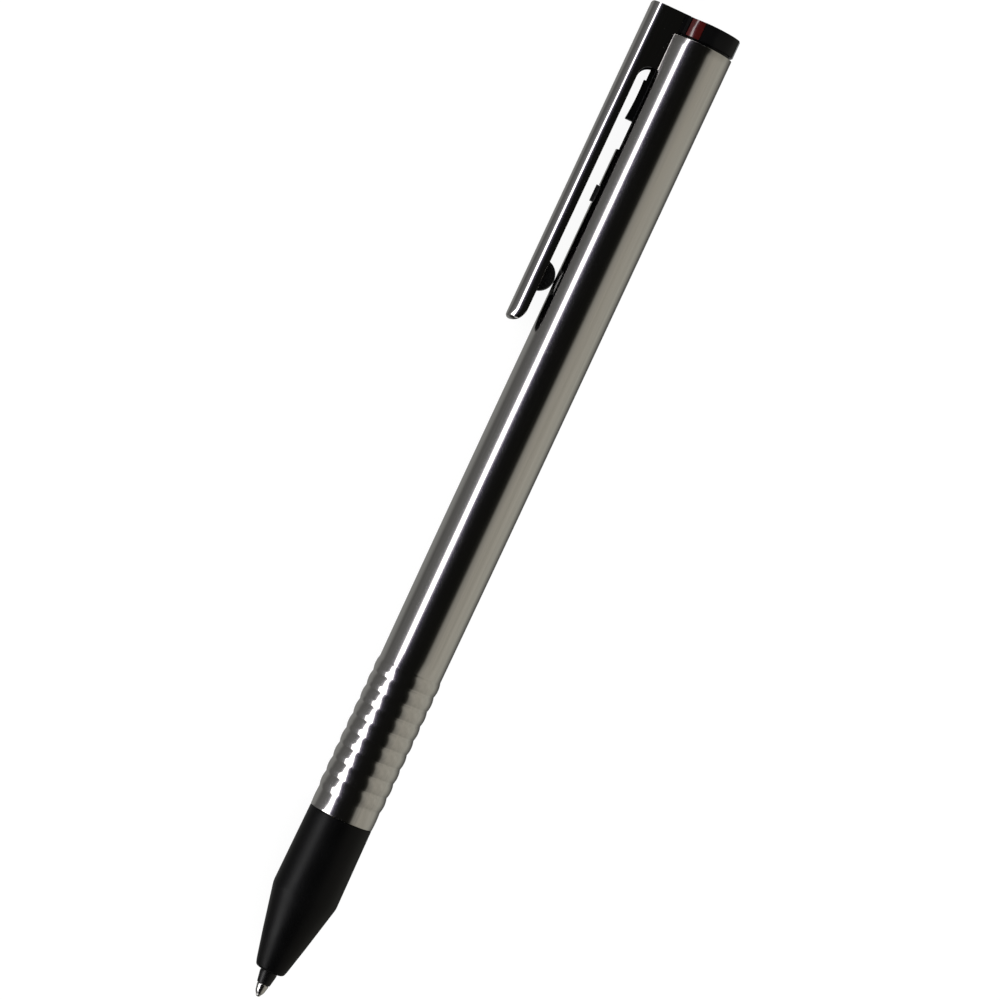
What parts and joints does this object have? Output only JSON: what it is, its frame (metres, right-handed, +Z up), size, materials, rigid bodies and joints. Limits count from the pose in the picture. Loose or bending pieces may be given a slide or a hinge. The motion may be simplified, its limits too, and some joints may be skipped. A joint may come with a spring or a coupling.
{
  "type": "multifunction pen",
  "caption": "Slim steel multifunction pen with a push cap, sprung channel clip, ringed grip and screw-on black nose, holding ball pens and a mechanical pencil.",
  "frame": {"origin": "on the surface the pen lies on, below the middle of its bounding box", "axes": "+X along the pen towards the writing point, +Z up, -Y on the clip's side"},
  "size_m": [0.1388, 0.0122, 0.009],
  "materials": {
    "barrel_steel": "polished steel with faint lengthwise drawing lines",
    "clip_steel": "polished",
    "spring_steel": "drawn wire and turned steel",
    "brass": "turned",
    "nickel": "turned nickel silver",
    "black_plastic": "satin moulded",
    "matt_black": "matt moulded",
    "white_plastic": "natural",
    "red_plastic": "satin moulded",
    "grey_plastic": "satin moulded",
    "graphite": "pencil lead"
  },
  "bodies": {
    "barrel": {"barrel_tube": "barrel_steel", "thread_bush": "brass", "spring_plate": "brass", "mechanism_cage": "black_plastic", "clip_pin": "clip_steel", "clip_spring": "spring_steel", "cap_spring": "spring_steel", "black_spring": "spring_steel", "red_spring": "spring_steel", "pencil_spring": "spring_steel"},
    "cap": {"push_cap": "black_plastic", "mark_red": "red_plastic", "mark_grey": "grey_plastic", "mark_white": "white_plastic", "selector_axle": "spring_steel", "selector_washer": "spring_steel"},
    "selector": {"selector_weight": "brass", "selector_finger": "spring_steel"},
    "clip": {"clip": "clip_steel", "clip_pad": "black_plastic"},
    "lever": {"release_lever": "black_plastic"},
    "black_refill": {"black_slider": "black_plastic", "black_tube": "black_plastic", "black_holder": "black_plastic", "black_point": "nickel"},
    "red_refill": {"red_slider": "red_plastic", "red_tube": "red_plastic", "red_holder": "red_plastic", "red_point": "nickel"},
    "pencil": {"pencil_slider": "grey_plastic", "pencil_tube": "spring_steel", "pencil_chuck": "brass", "pencil_lead": "graphite"},
    "nozzle": {"pencil_nozzle": "nickel"},
    "guide": {"refill_guide": "white_plastic"},
    "nose": {"nose_cone": "matt_black"}
  },
  "joints": [
    {"name": "cap_slide", "type": "slide", "parent": "barrel", "child": "cap", "axis": [-1, 0, 0], "range_m": [-0.0003, 0.009], "deforming": ["cap_spring"]},
    {"name": "black_slide", "type": "slide", "parent": "barrel", "child": "black_refill", "axis": [-1, 0, 0], "range_m": [-0.0003, 0.009], "deforming": ["black_spring"]},
    {"name": "red_slide", "type": "slide", "parent": "barrel", "child": "red_refill", "axis": [-1, 0, 0], "range_m": [-0.0008, 0], "stiffness_N_per_m": 60, "springref_m": 0.004, "deforming": ["red_spring"]},
    {"name": "pencil_slide", "type": "slide", "parent": "barrel", "child": "pencil", "axis": [-1, 0, 0], "range_m": [-0.0008, 0], "stiffness_N_per_m": 60, "springref_m": 0.004, "deforming": ["pencil_spring"]},
    {"name": "nozzle_slide", "type": "slide", "parent": "pencil", "child": "nozzle", "axis": [-1, 0, 0], "range_m": [0, 0.0008], "stiffness_N_per_m": 30, "springref_m": -0.002},
    {"name": "selector_swing", "type": "hinge", "parent": "cap", "child": "selector", "pos_m": [-0.05, 0.00166, 0.00449], "axis": [-1, 0, 0], "range_deg": [-70, 70]},
    {"name": "clip_lift", "type": "hinge", "parent": "barrel", "child": "clip", "pos_m": [-0.06452, -0.00211, 0.00289], "axis": [0, 0.3904, -0.9206], "range_deg": [0, 3.2], "stiffness_Nm_per_rad": 0.15, "springref_deg": -5.73},
    {"name": "lever_press", "type": "hinge", "parent": "barrel", "child": "lever", "pos_m": [-0.06452, -0.00211, 0.00289], "axis": [0, -0.3904, 0.9206], "range_deg": [0, 3], "stiffness_Nm_per_rad": 0.0005, "springref_deg": -5.73},
    {"name": "nose_advance", "type": "slide", "parent": "barrel", "child": "guide", "axis": [1, 0, 0], "range_m": [0, 0.00374]},
    {"name": "nose_turn", "type": "hinge", "parent": "guide", "child": "nose", "pos_m": [0.05567, 0.00166, 0.00449], "axis": [1, 0, 0], "range_deg": [0, 1800]}
  ],
  "couplings": [
    {"joint": "black_slide", "follows": "cap_slide", "ratio": 1},
    {"joint": "nose_turn", "follows": "nose_advance", "rad_per_m": 8377.6}
  ]
}
